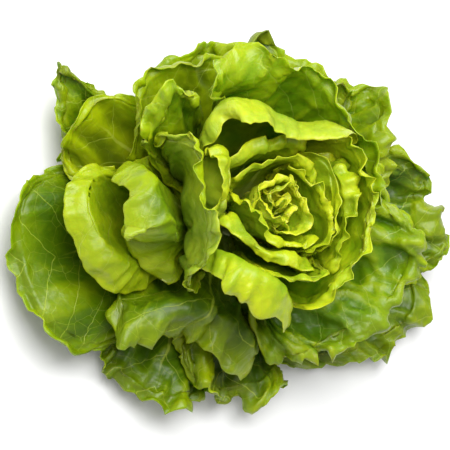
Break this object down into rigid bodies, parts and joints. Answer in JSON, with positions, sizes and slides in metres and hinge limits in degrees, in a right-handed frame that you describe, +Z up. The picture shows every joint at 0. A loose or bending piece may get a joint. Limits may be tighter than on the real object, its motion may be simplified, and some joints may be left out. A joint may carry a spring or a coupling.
{
  "type": "butterhead lettuce",
  "caption": "Open head of butterhead lettuce: soft, waved leaves in a rosette round a crinkled heart, on a short cut stem.",
  "frame": {"origin": "centre of the stem's cut face, on the surface that the head stands on", "axes": "+Z up along the stem; +X to the right of the head and +Y to its far side, as the picture shows it"},
  "size_m": [0.3213, 0.2377, 0.133],
  "materials": {
    "heart_leaf": "satin, pale yellow-green leaf",
    "ring_leaf": "satin, yellow-green leaf",
    "wrapper_leaf": "satin, fresh green leaf",
    "outer_leaf": "waxy, deep green leaf",
    "stem": "moist, pale green-white cut stem"
  },
  "bodies": {
    "root": {"arch_top": "ring_leaf", "arch_upper_left": "outer_leaf", "far_upper_left": "outer_leaf", "flap_low": "ring_leaf", "fold_right": "ring_leaf", "fold_top_left": "wrapper_leaf", "folded_left": "wrapper_leaf", "glossy_low_right": "wrapper_leaf", "heart": "heart_leaf", "inner_low": "ring_leaf", "inner_right": "ring_leaf", "inner_top": "ring_leaf", "left": "outer_leaf", "low_band": "ring_leaf", "low_front": "outer_leaf", "low_left": "outer_leaf", "low_right": "outer_leaf", "lowest": "outer_leaf", "narrow_left": "wrapper_leaf", "point": "ring_leaf", "right": "outer_leaf", "right_band": "ring_leaf", "right_upper": "outer_leaf", "ring_left": "ring_leaf", "ring_right": "ring_leaf", "stem": "stem", "tall_left": "wrapper_leaf", "top": "outer_leaf", "top_behind": "outer_leaf", "top_fold": "ring_leaf", "upper_left": "outer_leaf", "wrap_right": "wrapper_leaf"}
  },
  "joints": []
}
